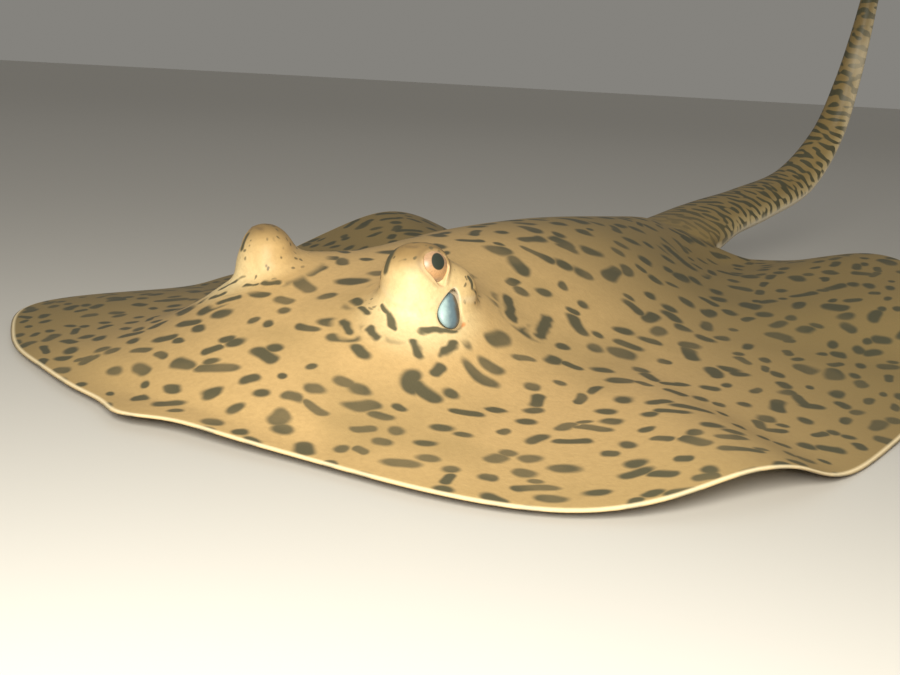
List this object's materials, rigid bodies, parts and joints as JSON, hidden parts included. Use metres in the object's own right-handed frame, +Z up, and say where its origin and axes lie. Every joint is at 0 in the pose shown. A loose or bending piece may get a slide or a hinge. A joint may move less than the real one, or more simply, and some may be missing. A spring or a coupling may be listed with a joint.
{
  "type": "freshwater stingray model",
  "caption": "Life-size still model of a freshwater stingray lying on its belly, tail raised behind: spotted disc, knobbed eyes, spiracles, tail sting",
  "frame": {"origin": "on the floor, under the middle of the disc, in the flat of the belly", "axes": "+Z up, snout towards -Y, the animal's left side towards +X, tail towards +Y"},
  "size_m": [0.318, 0.576, 0.2254],
  "materials": {
    "skin": "moist smooth skin, sandy tan with dark slate dashes above, cream below",
    "eye": "wet eye, copper iris round a dark oval pupil",
    "spiracle_valve": "thin bluish white membrane",
    "sting": "dull horn, pale, with barbed edges"
  },
  "bodies": {
    "root": {"head": "skin", "trunk": "skin", "pectoral_fin_left": "skin", "pectoral_fin_right": "skin", "pelvic_fin_left": "skin", "pelvic_fin_right": "skin", "tail_base": "skin", "tail_middle": "skin", "tail_rear": "skin", "tail_tip": "skin", "eye_left": "eye", "eye_right": "eye", "spiracle_valve_left": "spiracle_valve", "spiracle_valve_right": "spiracle_valve", "sting": "sting"}
  },
  "joints": []
}
